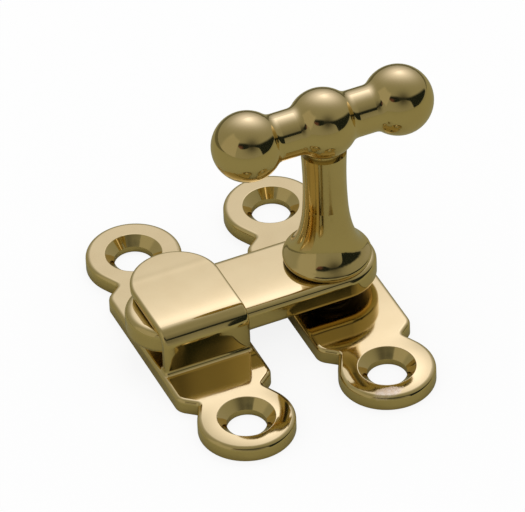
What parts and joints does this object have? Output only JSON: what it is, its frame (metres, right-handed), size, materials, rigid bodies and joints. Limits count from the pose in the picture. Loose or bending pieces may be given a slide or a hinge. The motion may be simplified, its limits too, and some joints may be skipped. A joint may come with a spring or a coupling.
{
  "type": "thumb turn catch",
  "caption": "Polished brass thumb turn catch: a T-handled turn on a screwed plate swings its flat latch bar under the hooked keeper beside it.",
  "frame": {"origin": "underside of the pivot plate, midway between its screw holes, on the axis of the turn", "axes": "+Z leaves the furniture along the turn's axis, +Y runs along both plates towards the open side of the keeper, and the closed latch bar points along -X"},
  "size_m": [0.0426, 0.0487, 0.033],
  "materials": {
    "cast_brass": "mirror polished",
    "turned_brass": "mirror polished",
    "steel": "bright zinc plated"
  },
  "bodies": {
    "base": {"pivot_plate": "cast_brass", "keeper": "cast_brass"},
    "turn": {"latch_bar": "cast_brass", "handle_post": "turned_brass", "crossbar": "turned_brass", "spring_washer": "steel", "plain_washer": "steel", "retaining_screw": "steel"}
  },
  "joints": [
    {"name": "turn_swing", "type": "hinge", "parent": "base", "child": "turn", "pos_m": [0, 0, 0.0025], "axis": [0, 0, -1], "range_deg": [0, 305]}
  ]
}
